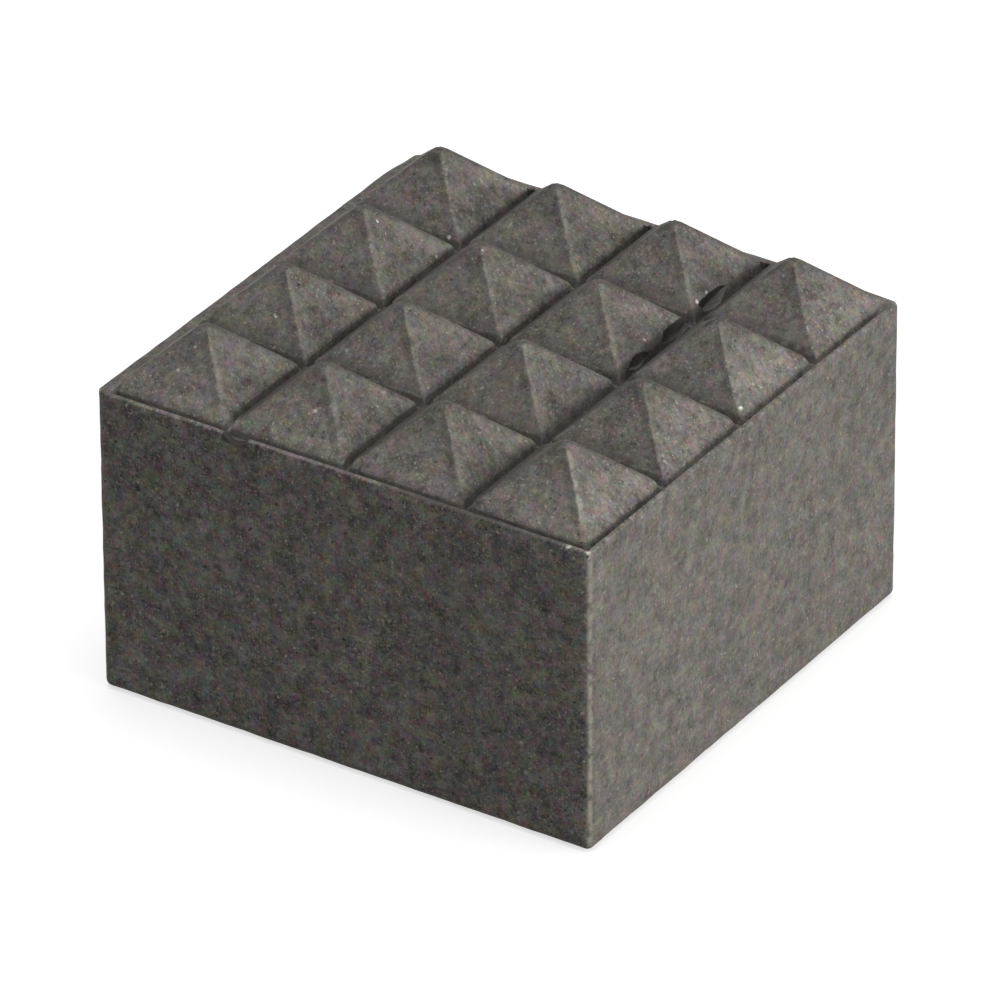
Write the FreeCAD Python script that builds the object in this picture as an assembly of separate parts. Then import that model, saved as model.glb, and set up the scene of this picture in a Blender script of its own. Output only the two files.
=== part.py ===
import FreeCAD, Part
import os

# Serrated gripper insert: a square block, pressed and sintered in one piece, whose
# top is a grid of blunt pyramid teeth with a narrow slot between their feet.
# Millimetres. The origin is the middle of the flat seat, +Z points up through the
# teeth, -Y is the front and +X is the right.

# Block, measured across its flat sides
block_width = 12.70
block_length = 12.70
land_height = 7.55
block_edge_radius = 0.20
land_edge_radius = 0.05

# Land from each side of the block to the feet of the outer teeth
left_land = 0.26
right_land = 0.43
front_land = 0.52
back_land = 0.17

# Teeth: the columns are counted along X and the rows along Y
columns = 4
rows = 4
tooth_height = 1.21
tip_width = 0.24

# Slots between the feet of the teeth
slot_width = 0.27
slot_depth = 0.25

# Rim that the slot along the front and the right side leaves standing. The outer
# flanks there run on below the land before they reach that slot.
rim_width = 0.12
flank_overrun = 0.075

# Chips out of the left wall of the last groove between the columns. Each has the
# places along Y where it starts and ends, and its reach into the foot of the tooth.
groove_chips = [
    (0.70, 1.50, 0.10),
    (2.00, 3.35, 0.09),
    (3.60, 4.70, 0.15),
]
chip_peaks = [(0.0, 0.0), (0.3, 0.8), (0.8, 1.0), (1.0, 0.0)]

# Chip out of the front rim, beside the end of the first groove
rim_chip_offset = 0.20
rim_chip_length = 0.55
rim_chip_depth = 0.10

# Sizes that follow from those above
slot_floor = land_height - slot_depth
tip_level = land_height + tooth_height
left_side = -block_width / 2
front_side = -block_length / 2
column_pitch = (block_width - left_land - right_land + slot_width) / columns
row_pitch = (block_length - front_land - back_land + slot_width) / rows
front_rim = front_side + rim_width
right_rim = -left_side - rim_width


def flat_face(points):
    """Flat face inside the closed outline through the points."""
    return Part.Face(Part.makePolygon(points + points[:1]))


def prism(corners, bottom, top):
    """Upright solid on the (x, y) corners, from the bottom level to the top one."""
    outline = [FreeCAD.Vector(x, y, bottom) for x, y in corners]
    return flat_face(outline).extrude(FreeCAD.Vector(0, 0, top - bottom))


def rectangle(x_low, x_high, y_low, y_high):
    """Corners of a rectangle, for a prism."""
    return [(x_low, y_low), (x_high, y_low), (x_high, y_high), (x_low, y_high)]


def edges_along(shape, level):
    """Edges of a shape that lie flat at one level."""
    tolerance = 1e-6
    found = []
    for edge in shape.Edges:
        box = edge.BoundBox
        if abs(box.ZMin - level) < tolerance and abs(box.ZMax - level) < tolerance:
            found.append(edge)
    return found


def make_block():
    """Block up to the land, with its upright edges, seat edges and land edge rounded."""
    block = prism(rectangle(left_side, -left_side, front_side, -front_side), 0, land_height)
    upright = [edge for edge in block.Edges if edge.BoundBox.ZLength > land_height / 2]
    block = block.makeFillet(block_edge_radius, upright + edges_along(block, 0))
    return block.makeFillet(land_edge_radius, edges_along(block, land_height))


def make_pocket():
    """Pocket that the teeth stand in, inside the rim and down to the slot floor."""
    left_feet = left_side + left_land
    back_feet = -front_side - back_land
    return prism(rectangle(left_feet, right_rim, front_rim, back_feet), slot_floor, tip_level)


def ridge_profile(start, pitch, overrun_start, overrun_end):
    """Section of one ridge as (place, level) points, from a foot that starts at a place."""
    foot = pitch - slot_width
    run = (foot - tip_width) / 2
    end = start + foot
    slope = run / tooth_height
    return [
        (start - overrun_start * slope, slot_floor),
        (start - overrun_start * slope, land_height - overrun_start),
        (start + run, tip_level),
        (end - run, tip_level),
        (end + overrun_end * slope, land_height - overrun_end),
        (end + overrun_end * slope, slot_floor),
    ]


def column_ridges():
    """Ridges that run from front to back. The flank on the right side runs on down."""
    ridges = []
    for column in range(columns):
        start = left_side + left_land + column * column_pitch
        overrun = flank_overrun if column == columns - 1 else 0
        profile = ridge_profile(start, column_pitch, 0, overrun)
        section = flat_face([FreeCAD.Vector(x, front_side, z) for x, z in profile])
        ridges.append(section.extrude(FreeCAD.Vector(0, block_length, 0)))
    return Part.makeCompound(ridges)


def row_ridges():
    """Ridges that run from left to right. The flank on the front side runs on down."""
    ridges = []
    for row in range(rows):
        start = front_side + front_land + row * row_pitch
        overrun = flank_overrun if row == 0 else 0
        profile = ridge_profile(start, row_pitch, overrun, 0)
        section = flat_face([FreeCAD.Vector(left_side, y, z) for y, z in profile])
        ridges.append(section.extrude(FreeCAD.Vector(block_width, 0, 0)))
    return Part.makeCompound(ridges)


def make_teeth():
    """Pyramid teeth, where the ridges along one side cross those along the other."""
    return column_ridges().common(row_ridges()).Solids


def make_groove_chips():
    """Chips in the left wall of the last groove, open towards the groove."""
    groove = left_side + left_land + (columns - 1) * column_pitch - slot_width / 2
    wall = groove - slot_width / 2
    chips = []
    for start, end, reach in groove_chips:
        corners = [(wall - share * reach, start + place * (end - start)) for place, share in chip_peaks]
        corners += [(groove, end), (groove, start)]
        chips.append(prism(corners, slot_floor, tip_level))
    return chips


def make_rim_chip():
    """Chip out of the front rim, to the right of the first groove."""
    groove = left_side + left_land + column_pitch - slot_width / 2
    start = groove + rim_chip_offset
    corners = rectangle(start, start + rim_chip_length, front_side, front_rim)
    return prism(corners, land_height - rim_chip_depth, land_height)


def make_insert():
    """The whole insert: the block with its pocket, the teeth in it, and the chips."""
    insert = make_block().cut(make_pocket())
    insert = insert.multiFuse(make_teeth()).removeSplitter()
    insert = insert.cut(make_groove_chips() + [make_rim_chip()])
    return insert.Solids[0]


os.makedirs("parts", exist_ok=True)
insert = make_insert()
insert.exportStep("parts/gripper_insert.step")
print("gripper_insert: solids", len(insert.Solids), "faces", len(insert.Faces), "valid", insert.isValid())
print("volume mm3", round(insert.Volume, 2), "height", round(insert.BoundBox.ZMax, 3))
print("pitch", round(column_pitch, 4), "by", round(row_pitch, 4))
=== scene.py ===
"""Looks of the serrated gripper insert: one sintered block with a grid of worn pyramid teeth.

The insert is shaped in millimetres, one Blender unit to the millimetre, because the
smallest roundings on it are a few hundredths of one. The finished mesh is then brought
to metres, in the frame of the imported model, where it stands for the plain solid.
"""

import logging
import math
from dataclasses import dataclass
from enum import Enum
from typing import Any, Callable, Iterable, Optional, Sequence, Union

import bmesh
import bpy
from mathutils import Matrix, Vector


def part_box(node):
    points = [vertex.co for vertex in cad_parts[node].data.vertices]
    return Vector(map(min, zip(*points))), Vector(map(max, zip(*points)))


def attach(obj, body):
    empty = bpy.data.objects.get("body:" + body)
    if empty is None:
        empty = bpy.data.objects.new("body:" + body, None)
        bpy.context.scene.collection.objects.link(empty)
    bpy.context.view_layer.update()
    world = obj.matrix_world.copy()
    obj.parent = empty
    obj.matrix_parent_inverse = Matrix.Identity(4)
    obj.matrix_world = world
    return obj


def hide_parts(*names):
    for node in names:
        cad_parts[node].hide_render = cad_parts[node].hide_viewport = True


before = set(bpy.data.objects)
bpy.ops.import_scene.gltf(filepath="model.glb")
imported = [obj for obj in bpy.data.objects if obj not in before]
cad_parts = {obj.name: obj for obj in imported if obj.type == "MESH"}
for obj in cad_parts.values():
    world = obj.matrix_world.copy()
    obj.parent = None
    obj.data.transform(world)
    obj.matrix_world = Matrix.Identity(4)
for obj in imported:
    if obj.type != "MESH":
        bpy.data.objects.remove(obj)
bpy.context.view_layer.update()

LOG = logging.getLogger("gripper_insert")
MM = 0.001
NODE = "gripper_insert"

# Places closer than this, in millimetres, are one place
NEAR = 1e-3

# A face lies level where its normal rises by more than this, and stands up otherwise
LEVEL = 0.5

# A cut can leave a sliver of a hole, with no more sides than this
SLIVER_SIDES = 4

Point = tuple[float, float, float]
Colour = tuple[float, float, float]


def linear(level: float) -> float:
    """One channel of a colour as a screen shows it, 0 to 255, as the light it stands for."""
    share = level / 255
    return share / 12.92 if share <= 0.04045 else ((share + 0.055) / 1.055) ** 2.4


def screen(red: float, green: float, blue: float) -> Colour:
    """A colour named by its screen levels, in the linear values that shaders take."""
    return (linear(red), linear(green), linear(blue))


def rgba(colour: Colour) -> tuple[float, float, float, float]:
    """An opaque colour for a socket."""
    return (*colour, 1.0)


class Pick(Enum):
    """What an edit selects."""

    POINTS = "VERT"
    EDGES = "EDGE"
    FACES = "FACE"


class Join(Enum):
    """How a tool's shape meets the piece that it works on."""

    CUT = "DIFFERENCE"
    UNITE = "UNION"


class Workpiece:
    """A mesh on the bench, with the few hand operations that shape this object."""

    def __init__(self, piece: bpy.types.Object) -> None:
        """Takes an object that is already in the scene."""
        self.piece = piece

    @classmethod
    def block(cls, name: str, low: Sequence[float], high: Sequence[float]) -> "Workpiece":
        """A rectangular block between two corners.

        Args:
            name: The object's name.
            low: Its lowest corner, in millimetres.
            high: Its highest corner, in millimetres.

        Returns:
            The block, with its place in its mesh.
        """
        size = [b - a for a, b in zip(low, high)]
        middle = [(a + b) / 2 for a, b in zip(low, high)]
        bpy.ops.object.select_all(action="DESELECT")
        bpy.ops.mesh.primitive_cube_add(size=1, location=(0, 0, 0))
        made = cls(bpy.context.object)
        made.piece.name = name
        with made.editing():
            bpy.ops.mesh.select_all(action="SELECT")
            bpy.ops.transform.resize(value=size)
            bpy.ops.transform.translate(value=middle)
        return made

    @classmethod
    def lump(cls, name: str, middle: Sequence[float], radii: Sequence[float], rough: float, seed: int,
             turns: int = 1) -> "Workpiece":
        """An angular lump, the shape that breaks out of a brittle edge.

        Args:
            name: The object's name.
            middle: Its centre, in millimetres.
            radii: Its half sizes along X, Y and Z, in millimetres.
            rough: How far its corners stray, as a share of its size.
            seed: The draw that its corners come from.
            turns: How finely the ball that it starts from is divided.

        Returns:
            The lump, closed, with its place in its mesh.
        """
        bpy.ops.object.select_all(action="DESELECT")
        bpy.ops.mesh.primitive_ico_sphere_add(subdivisions=turns, radius=1, location=(0, 0, 0))
        made = cls(bpy.context.object)
        made.piece.name = name
        with made.editing():
            bpy.ops.mesh.select_all(action="SELECT")
            bpy.ops.transform.vertex_random(offset=rough, uniform=1, normal=0.5, seed=seed)
            bpy.ops.transform.resize(value=radii)
            bpy.ops.transform.translate(value=middle)
            bpy.ops.mesh.normals_make_consistent(inside=False)
        return made

    def take_up(self) -> None:
        """Leaves this piece alone selected and active, in object mode."""
        if bpy.context.object and bpy.context.object.mode != "OBJECT":
            bpy.ops.object.mode_set(mode="OBJECT")
        bpy.ops.object.select_all(action="DESELECT")
        self.piece.select_set(True)
        bpy.context.view_layer.objects.active = self.piece

    def editing(self) -> "EditSession":
        """Edit mode on this piece, for a with statement."""
        return EditSession(self)

    def copy(self, name: str, shift: Sequence[float]) -> "Workpiece":
        """Makes a copy with its own mesh, moved in that mesh.

        Args:
            name: The copy's name.
            shift: How far it is moved, in millimetres.

        Returns:
            The copy.
        """
        twin = self.piece.copy()
        twin.data = self.piece.data.copy()
        twin.name = name
        bpy.context.scene.collection.objects.link(twin)
        twin.data.transform(Matrix.Translation(Vector(shift)))
        return Workpiece(twin)

    def select(self, what: Pick, test: Callable[[Any], bool]) -> None:
        """Selects the points, edges or faces that pass a test, and nothing else.

        Args:
            what: The kind of element.
            test: Called with each bmesh element.
        """
        bpy.ops.mesh.select_mode(type=what.value)
        bpy.ops.mesh.select_all(action="DESELECT")
        mesh = bmesh.from_edit_mesh(self.piece.data)
        group = {Pick.POINTS: mesh.verts, Pick.EDGES: mesh.edges, Pick.FACES: mesh.faces}[what]
        for element in group:
            if test(element):
                element.select_set(True)
        bmesh.update_edit_mesh(self.piece.data)

    def slice_across(self, axis: int, places: Iterable[float]) -> None:
        """Divides the piece by planes across one axis.

        Args:
            axis: The axis, 0 to 2.
            places: Where the planes cross it.
        """
        normal = [0.0, 0.0, 0.0]
        normal[axis] = 1.0
        for place in places:
            through = [0.0, 0.0, 0.0]
            through[axis] = place
            bpy.ops.mesh.select_all(action="SELECT")
            bpy.ops.mesh.bisect(plane_co=through, plane_no=normal)

    def modify(self, kind: str, **settings: Any) -> None:
        """Adds a modifier and applies it.

        Args:
            kind: The modifier's type.
            settings: Its settings, by name.
        """
        modifier = self.piece.modifiers.new(kind.lower(), kind)
        for name, value in settings.items():
            setattr(modifier, name, value)
        self.take_up()
        bpy.ops.object.modifier_apply(modifier=modifier.name)

    def work(self, tool: "Workpiece", how: Join) -> None:
        """Works on this piece with a tool's shape, removes the tool, and closes a sliver left open.

        Args:
            tool: The piece whose shape is used.
            how: Whether it is cut away or united.
        """
        self.modify("BOOLEAN", object=tool.piece, operation=how.value, solver="EXACT")
        tool.scrap()
        if self.open_edges():
            with self.editing():
                bpy.ops.mesh.select_all(action="SELECT")
                bpy.ops.mesh.fill_holes(sides=SLIVER_SIDES)
        LOG.info("%s: %d triangles, %d open edges", self.piece.name, self.triangles(), self.open_edges())

    def wear(self, test: Callable[[Vector], bool], grain: float, depth: float, layers: int = 2) -> None:
        """Wears chosen points back unevenly, along their normals.

        Args:
            test: Called with each point's place, true where it wears.
            grain: Size of the unevenness, in millimetres.
            depth: The deepest wear, in millimetres.
            layers: How many finer layers the unevenness has.
        """
        group = self.piece.vertex_groups.new(name="worn")
        group.add([v.index for v in self.piece.data.vertices if test(v.co)], 1.0, "REPLACE")
        cloud = bpy.data.textures.new("wear_cloud", "CLOUDS")
        cloud.noise_scale = grain
        cloud.noise_depth = layers
        self.modify("DISPLACE", texture=cloud, texture_coords="GLOBAL", strength=-depth, mid_level=0.0,
                    vertex_group="worn")
        self.piece.vertex_groups.clear()

    def open_edges(self) -> int:
        """Counts the edges that don't have two faces.

        Returns:
            Their number, which is none on a closed shell.
        """
        mesh = bmesh.new()
        mesh.from_mesh(self.piece.data)
        count = sum(len(edge.link_faces) != 2 for edge in mesh.edges)
        mesh.free()
        return count

    def absorb(self, others: Sequence["Workpiece"]) -> None:
        """Joins other workpieces into this one's mesh.

        Args:
            others: The pieces that are joined in.
        """
        self.take_up()
        for other in others:
            other.piece.select_set(True)
        bpy.ops.object.join()

    def scrap(self) -> None:
        """Removes the piece and its mesh."""
        mesh = self.piece.data
        bpy.data.objects.remove(self.piece)
        bpy.data.meshes.remove(mesh)

    def triangles(self) -> int:
        """How many triangles the piece has."""
        return sum(len(face.vertices) - 2 for face in self.piece.data.polygons)


class EditSession:
    """Edit mode on one workpiece, entered and left by a with statement."""

    def __init__(self, owner: Workpiece) -> None:
        """Keeps the workpiece to edit."""
        self.owner = owner

    def __enter__(self) -> None:
        """Enters edit mode."""
        self.owner.take_up()
        bpy.ops.object.mode_set(mode="EDIT")

    def __exit__(self, *problem: object) -> None:
        """Leaves edit mode."""
        bpy.ops.object.mode_set(mode="OBJECT")


@dataclass
class InsertSizes:
    """The insert's sizes in millimetres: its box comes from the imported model."""

    low: Vector
    high: Vector
    land: float = 7.55
    edge_radius: float = 0.20
    land_radius: float = 0.05
    left_land: float = 0.26
    right_land: float = 0.43
    front_land: float = 0.52
    back_land: float = 0.17
    columns: int = 4
    rows: int = 4
    tip_width: float = 0.24
    slot_width: float = 0.27
    slot_depth: float = 0.25
    rim_width: float = 0.12
    rim_chip: tuple[float, float] = (-3.00, -2.42)

    @property
    def pitch(self) -> float:
        """Distance from one tooth to the next, the same both ways."""
        return (self.high.x - self.low.x - self.left_land - self.right_land + self.slot_width) / self.columns

    @property
    def foot(self) -> float:
        """Width of a tooth at its foot."""
        return self.pitch - self.slot_width

    @property
    def rise(self) -> float:
        """Height of a tooth above the land."""
        return self.high.z - self.land

    @property
    def slope(self) -> float:
        """How far a flank runs out for each millimetre down."""
        return (self.foot - self.tip_width) / 2 / self.rise

    @property
    def slot_floor(self) -> float:
        """Level of the slots' floor."""
        return self.land - self.slot_depth

    @property
    def first_cell(self) -> tuple[float, float]:
        """Corner of the first tooth's cell, half a slot in front and to the left of its foot."""
        half = self.slot_width / 2
        return self.low.x + self.left_land - half, self.low.y + self.front_land - half

    def tooth_middle(self, column: int, row: int) -> tuple[float, float]:
        """Finds where a tooth's tip stands in the plan.

        Args:
            column: The tooth's column, from the left.
            row: The tooth's row, from the front.

        Returns:
            Its places from left to right and from front to back.
        """
        x = self.low.x + self.left_land + self.foot / 2 + column * self.pitch
        y = self.low.y + self.front_land + self.foot / 2 + row * self.pitch
        return x, y

    def groove(self, column: int) -> float:
        """Middle of the slot to the left of a column of teeth."""
        return self.first_cell[0] + column * self.pitch

    def surface(self, x: float, y: float) -> float:
        """Finds the level of the toothed face, slots left out.

        Args:
            x: Place from left to right.
            y: Place from front to back.

        Returns:
            The level of the land, or of the tooth that stands there.
        """
        best = self.land
        for column in range(self.columns):
            for row in range(self.rows):
                u, v = self.tooth_middle(column, row)
                out = max(abs(x - u), abs(y - v))
                best = max(best, min(self.high.z, self.land + (self.foot / 2 - out) / self.slope))
        return best


@dataclass
class SinteredBlock:
    """The block up to its land, with worn edges and the pocket that the teeth stand in."""

    sizes: InsertSizes
    slice_step: float = 0.25
    round_steps: int = 6
    land_steps: int = 3
    edge_wear: float = 0.03
    edge_grain: float = 0.6
    edge_share: float = 0.9
    left_corner_drop: float = 0.10
    right_corner_drop: float = 0.05
    corner_reach: float = 1.2
    rim_drop: float = 0.01
    slot_end_width: float = 0.34
    slot_end_length: float = 0.40
    slot_end_rise: float = 0.23
    foot_overlap: float = 0.06

    def build(self) -> Workpiece:
        """Shapes the block.

        Returns:
            The block with its pocket open, before the teeth go in.
        """
        s = self.sizes
        top = Vector((s.high.x, s.high.y, s.land))
        body = Workpiece.block("insert_body", s.low, top)
        with body.editing():
            self._slice(body, top)
            self._round(body, top)
            self._drop_corner(body, Vector((s.low.x, top.y, top.z)), self.left_corner_drop)
            self._drop_corner(body, top, self.right_corner_drop)
        body.wear(lambda p: self._near_sides(p, top) >= 2, self.edge_grain, self.edge_wear)
        body.work(self._pocket(), Join.CUT)
        with body.editing():
            self._drop_rim(body)
        return body

    def _slice(self, body: Workpiece, top: Vector) -> None:
        """Divides the sides, so that wear can follow them.

        Args:
            body: The block.
            top: Its highest corner.
        """
        low = self.sizes.low
        for axis in range(3):
            count = round((top[axis] - low[axis]) / self.slice_step)
            step = (top[axis] - low[axis]) / count
            body.slice_across(axis, [low[axis] + step * k for k in range(1, count)])

    def _near_sides(self, point: Vector, top: Vector) -> int:
        """How many of the block's sides a point is close to."""
        low, near = self.sizes.low, self.sizes.edge_radius * self.edge_share
        return sum(min(point[axis] - low[axis], top[axis] - point[axis]) < near for axis in range(3))

    def _round(self, body: Workpiece, top: Vector) -> None:
        """Rounds the upright edges and the seat edges, then the land's edges.

        Args:
            body: The block.
            top: Its highest corner.
        """
        low = self.sizes.low

        def on_side(point: Vector, axis: int) -> bool:
            """Whether a point lies on either side of the block across an axis."""
            return abs(point[axis] - low[axis]) < NEAR or abs(point[axis] - top[axis]) < NEAR

        def upright_or_seat(edge: Any) -> bool:
            """Whether an edge stands at a corner of the block or borders its seat."""
            ends = [v.co for v in edge.verts]
            along = [all(on_side(p, axis) for p in ends) for axis in (0, 1)]
            return all(along) or (any(along) and all(abs(p.z - low.z) < NEAR for p in ends))

        def land_edge(edge: Any) -> bool:
            """Whether an edge borders the land."""
            flat = all(abs(v.co.z - top.z) < NEAR for v in edge.verts)
            return flat and any(abs(face.normal.z) < LEVEL for face in edge.link_faces)

        body.select(Pick.EDGES, upright_or_seat)
        bpy.ops.mesh.bevel(offset=self.sizes.edge_radius, segments=self.round_steps, affect="EDGES")
        body.select(Pick.EDGES, land_edge)
        bpy.ops.mesh.bevel(offset=self.sizes.land_radius, segments=self.land_steps, affect="EDGES")

    def _drop_corner(self, body: Workpiece, corner: Vector, drop: float) -> None:
        """Wears the land down towards one of its corners.

        Args:
            body: The block.
            corner: The corner's place.
            drop: How far it is worn down there.
        """
        body.select(Pick.POINTS, lambda v: (v.co - corner).length < self.sizes.edge_radius)
        bpy.ops.transform.translate(value=(0, 0, -drop), use_proportional_edit=True,
                                    proportional_edit_falloff="SMOOTH", proportional_size=self.corner_reach)

    def _pocket(self) -> Workpiece:
        """Shapes the tool for the pocket between the lands and the rim.

        Returns:
            The tool. Its bottom rises at the back corner, where the right slot ends.
        """
        s = self.sizes
        low = (s.low.x + s.left_land + self.foot_overlap, s.low.y + s.rim_width, s.slot_floor)
        high = (s.high.x - s.rim_width, s.high.y - s.back_land - self.foot_overlap, s.high.z)
        tool = Workpiece.block("pocket_tool", low, high)
        inner = high[0] - self.slot_end_width
        with tool.editing():
            tool.slice_across(0, [inner - self.slot_end_width, inner])
            tool.slice_across(1, [high[1] - self.slot_end_length])
            tool.select(Pick.POINTS, lambda v: (
                v.co.z < s.land and v.co.x > inner - NEAR and v.co.y > high[1] - NEAR))
            bpy.ops.transform.translate(value=(0, 0, self.slot_end_rise))
        return tool

    def _drop_rim(self, body: Workpiece) -> None:
        """Wears the rim on the front and the right side a little below the land.

        Args:
            body: The block, with its pocket open.
        """
        s = self.sizes
        body.select(Pick.POINTS, lambda v: v.co.z > s.slot_floor + NEAR and (
            v.co.y < s.low.y + s.rim_width + NEAR or v.co.x > s.high.x - s.rim_width - NEAR))
        bpy.ops.transform.translate(value=(0, 0, -self.rim_drop))


@dataclass
class ToothGrid:
    """The pyramid teeth: one is shaped, and the rest are copies that wear differently."""

    sizes: InsertSizes
    root: float = 0.03
    draft: float = 0.08
    overrun: float = 0.10
    front_toe: float = 0.06
    left_toe: float = 0.02
    right_toe: float = 0.035
    ridge_radius: float = 0.06
    ridge_steps: int = 4
    rings: int = 12
    fold_angle: float = 0.2
    ridge_wear: float = 0.035
    ridge_grain: float = 0.25
    ridge_start: float = 0.1

    def build(self) -> Workpiece:
        """Shapes every tooth.

        Returns:
            All the teeth, as one workpiece of closed shells.
        """
        s = self.sizes
        pattern = self._tooth()
        teeth = []
        for column in range(s.columns):
            for row in range(s.rows):
                x, y = s.tooth_middle(column, row)
                tooth = pattern.copy(f"tooth_{column}_{row}", (x, y, 0))
                self._fit(tooth, column, row)
                teeth.append(tooth)
        pattern.scrap()
        teeth[0].absorb(teeth[1:])
        teeth[0].wear(self._on_ridge, self.ridge_grain, self.ridge_wear)
        return teeth[0]

    def _tooth(self) -> Workpiece:
        """Shapes the pattern tooth.

        Returns:
            The tooth, with its tip over the origin.
        """
        s = self.sizes
        half = s.foot / 2
        low = (-half, -half, s.slot_floor - self.root)
        tooth = Workpiece.block("pattern_tooth", low, (half, half, s.land))
        with tooth.editing():
            tooth.select(Pick.FACES, lambda face: face.normal.z > LEVEL)
            bpy.ops.mesh.extrude_region_move(TRANSFORM_OT_translate={"value": (0, 0, s.rise)})
            bpy.ops.transform.resize(value=(s.tip_width / s.foot, s.tip_width / s.foot, 1))
            tooth.select(Pick.POINTS, lambda v: v.co.z < s.slot_floor)
            wider = 1 + self.draft / half
            bpy.ops.transform.resize(value=(wider, wider, 1))
            tooth.slice_across(2, [s.land + s.rise * k / self.rings for k in range(1, self.rings)])
            tooth.select(Pick.EDGES, lambda edge: min(v.co.z for v in edge.verts) > s.land - NEAR
                         and self._is_fold(edge) or self._is_foot_corner(edge))
            bpy.ops.mesh.bevel(offset=self.ridge_radius, segments=self.ridge_steps, affect="EDGES")
        return tooth

    def _is_fold(self, edge: Any) -> bool:
        """Whether the faces on an edge's two sides meet at an angle."""
        return len(edge.link_faces) == 2 and edge.calc_face_angle() > self.fold_angle

    def _is_foot_corner(self, edge: Any) -> bool:
        """Whether an edge of the pattern tooth stands at a corner of its foot."""
        tall = abs(edge.verts[0].co.z - edge.verts[1].co.z) > self.sizes.slot_depth
        return tall and max(v.co.z for v in edge.verts) < self.sizes.land + self.root

    def _fit(self, tooth: Workpiece, column: int, row: int) -> None:
        """Fits a tooth to its place: inner feet toe out, and flanks at the front and the right run on down.

        Args:
            tooth: The tooth, already in its place.
            column: Its column, from the left.
            row: Its row, from the front.
        """
        s = self.sizes
        x, y = s.tooth_middle(column, row)
        reach = s.foot / 2 - self.ridge_radius

        def at_foot(point: Vector) -> bool:
            """Whether a point is level with the tooth's foot."""
            return abs(point.z - s.land) < self.ridge_radius

        with tooth.editing():
            if column > 0:
                tooth.select(Pick.POINTS, lambda v: v.co.x < x - reach and at_foot(v.co))
                bpy.ops.transform.translate(value=(-self.left_toe if row else -self.front_toe, 0, 0))
            if row > 0 and column < s.columns - 2:
                tooth.select(Pick.POINTS, lambda v: v.co.x > x + reach and at_foot(v.co))
                bpy.ops.transform.translate(value=(self.right_toe, 0, 0))
            if column == s.columns - 1:
                self._run_on(tooth, lambda p: p.x > x + reach, (1, 0))
            if row == 0:
                self._run_on(tooth, lambda p: p.y < y - reach, (0, -1))

    def _run_on(self, tooth: Workpiece, outside: Callable[[Vector], bool], way: tuple[int, int]) -> None:
        """Runs one flank of a tooth on below the land.

        Args:
            tooth: The tooth.
            outside: Called with each point's place, true on the wall below that flank.
            way: The way that the flank faces, along X and Y.
        """
        s = self.sizes
        out = self.overrun * s.slope
        tooth.select(Pick.POINTS, lambda v: outside(v.co))
        bpy.ops.transform.translate(value=(way[0] * out, way[1] * out, 0))
        tooth.select(Pick.POINTS, lambda v: outside(v.co) and v.co.z > s.slot_floor)
        bpy.ops.transform.translate(value=(0, 0, -self.overrun))

    def _on_ridge(self, point: Vector) -> bool:
        """Finds whether a point stands on a ridge or a tip.

        Args:
            point: The point's place.

        Returns:
            True where it does.
        """
        s = self.sizes
        across = [abs((point[axis] - s.first_cell[axis]) % s.pitch - s.pitch / 2) for axis in (0, 1)]
        return point.z > s.land + self.ridge_start and abs(across[0] - across[1]) < self.ridge_radius


@dataclass(frozen=True)
class Spot:
    """A small mark: where it is, how far it reaches and how strong it is."""

    x: float
    y: float
    radius: float
    strength: float = 1.0
    z: Optional[float] = None

    def place(self, sizes: InsertSizes) -> Point:
        """The mark's place, on the toothed face unless it has a level of its own."""
        return (self.x, self.y, sizes.surface(self.x, self.y) if self.z is None else self.z)


@dataclass(frozen=True)
class Chipping:
    """How the lumps of one kind of chip are shaped.

    Its values are the stretch along the edge, the height of the middle above the land, the
    half height, the roughness, the seed, and how finely the ball is divided.
    """

    stretch: float
    rise: float
    depth: float
    rough: float
    seed: int
    turns: int = 2


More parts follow.
